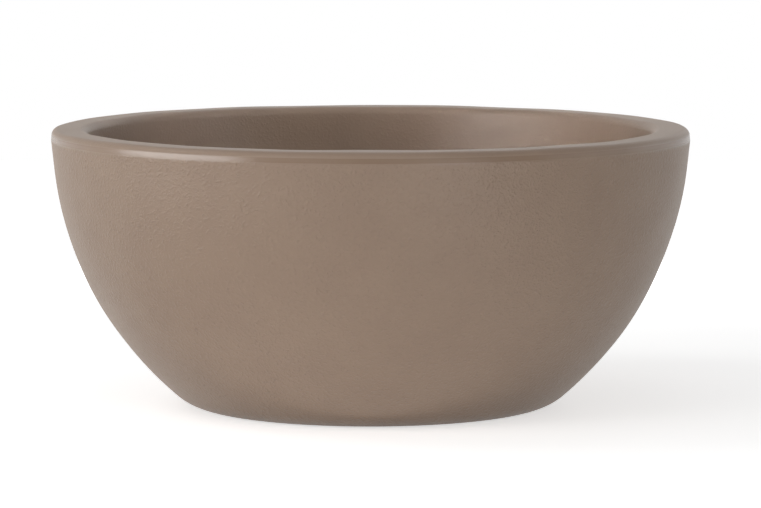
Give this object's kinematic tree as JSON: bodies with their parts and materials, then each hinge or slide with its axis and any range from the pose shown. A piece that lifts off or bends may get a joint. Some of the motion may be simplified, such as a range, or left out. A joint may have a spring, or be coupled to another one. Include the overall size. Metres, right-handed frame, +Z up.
{
  "type": "bowl planter",
  "caption": "Low round bowl planter moulded in pebbled plastic, with a broad flat rim, a hollow double wall, lift-out drain plugs and a recessed base on a foot ring.",
  "frame": {"origin": "on the floor, at the centre of the foot ring", "axes": "+Z up out of the bowl's mouth, -Y towards the viewer of the picture, +X to the viewer's right"},
  "size_m": [0.61, 0.6098, 0.267],
  "materials": {
    "bowl": "satin taupe polyethylene with a fine pebbled skin",
    "plug": "satin dark brown polyethylene",
    "seal": "matt black rubber",
    "vent": "satin dark brown polyethylene"
  },
  "bodies": {
    "bowl": {"planter_body": "bowl", "vent_plug": "vent"},
    "plug_1": {"drain_plug_1": "plug", "plug_seal_1": "seal"},
    "plug_2": {"drain_plug_2": "plug", "plug_seal_2": "seal"},
    "plug_3": {"drain_plug_3": "plug", "plug_seal_3": "seal"}
  },
  "joints": [
    {"name": "plug_1_lift", "type": "slide", "parent": "bowl", "child": "plug_1", "axis": [0, 0, 1], "range_m": [0, 0.27]},
    {"name": "plug_2_lift", "type": "slide", "parent": "bowl", "child": "plug_2", "axis": [0, 0, 1], "range_m": [0, 0.27]},
    {"name": "plug_3_lift", "type": "slide", "parent": "bowl", "child": "plug_3", "axis": [0, 0, 1], "range_m": [0, 0.27]}
  ]
}
